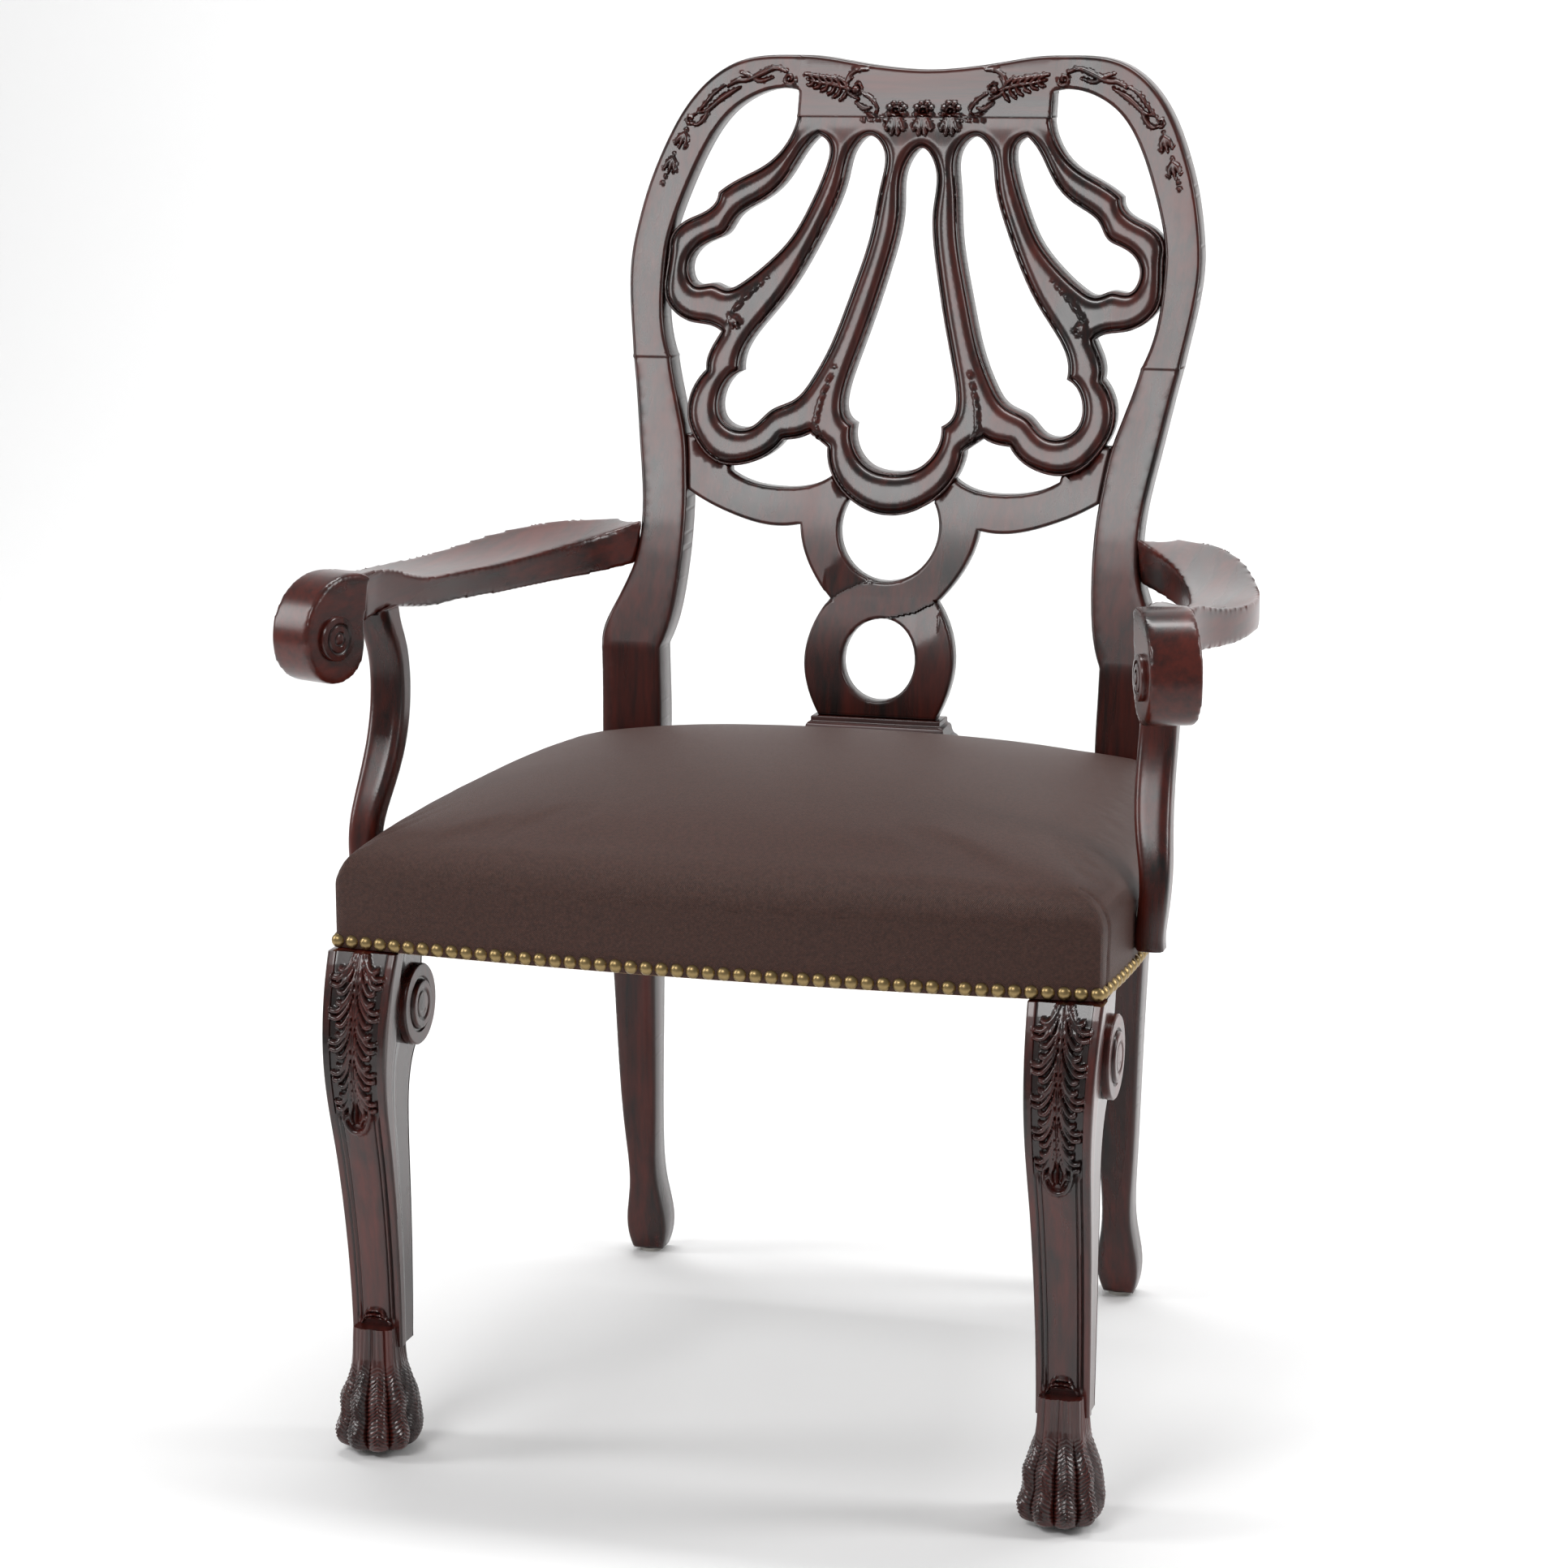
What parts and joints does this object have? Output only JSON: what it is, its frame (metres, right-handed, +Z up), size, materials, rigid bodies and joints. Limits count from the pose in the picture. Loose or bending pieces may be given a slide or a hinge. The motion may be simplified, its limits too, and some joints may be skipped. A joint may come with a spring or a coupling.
{
  "type": "armchair",
  "caption": "Upholstered wooden armchair with a fretted shell back, interlaced straps, scrolled arms and front legs with carved knees and paw feet.",
  "frame": {"origin": "centre of the footprint, on the floor under the feet", "axes": "-Y the front of the chair, +X to the right of someone who faces its front, which is the side that the nodes named right are on, +Z up"},
  "size_m": [0.7098, 0.7023, 1.0481],
  "materials": {
    "mahogany": "dark red-brown satin lacquer with a near-black glaze in the recesses",
    "frame_beech": "planed and unfinished",
    "beech": "fluted dowel, unfinished",
    "seat_fabric": "dark brown basket-weave linen with a slight sheen",
    "foam": "upholstery foam under a thin wadding",
    "jute": "plain woven jute strap",
    "burlap": "open plain weave",
    "cambric": "thin black non-woven",
    "brass_nails": "antiqued, satin",
    "screw_steel": "zinc plated",
    "glide_plastic": "grey nylon"
  },
  "bodies": {
    "root": {"arm_dowels": "beech", "arm_left": "mahogany", "arm_right": "mahogany", "arm_support_left": "mahogany", "arm_support_right": "mahogany", "arm_support_screws": "screw_steel", "burlap": "burlap", "corner_block_front_left": "frame_beech", "corner_block_front_right": "frame_beech", "corner_block_rear_left": "frame_beech", "corner_block_rear_right": "frame_beech", "corner_block_screws": "screw_steel", "crest_rail": "mahogany", "dust_cover": "cambric", "front_leg_left": "mahogany", "front_leg_right": "mahogany", "glide_front_left": "glide_plastic", "glide_front_right": "glide_plastic", "glide_rear_left": "glide_plastic", "glide_rear_right": "glide_plastic", "hoop_shoulder_left": "mahogany", "hoop_shoulder_right": "mahogany", "knee_volutes_left": "mahogany", "knee_volutes_right": "mahogany", "nails_front": "brass_nails", "nails_left": "brass_nails", "nails_right": "brass_nails", "rail_dowels": "beech", "rail_front": "frame_beech", "rail_left": "frame_beech", "rail_rear": "frame_beech", "rail_right": "frame_beech", "seat_cover": "seat_fabric", "seat_pad": "foam", "splat_shell": "mahogany", "splat_shoe": "mahogany", "splat_strapwork": "mahogany", "stile_left": "mahogany", "stile_right": "mahogany", "webbing": "jute"}
  },
  "joints": []
}
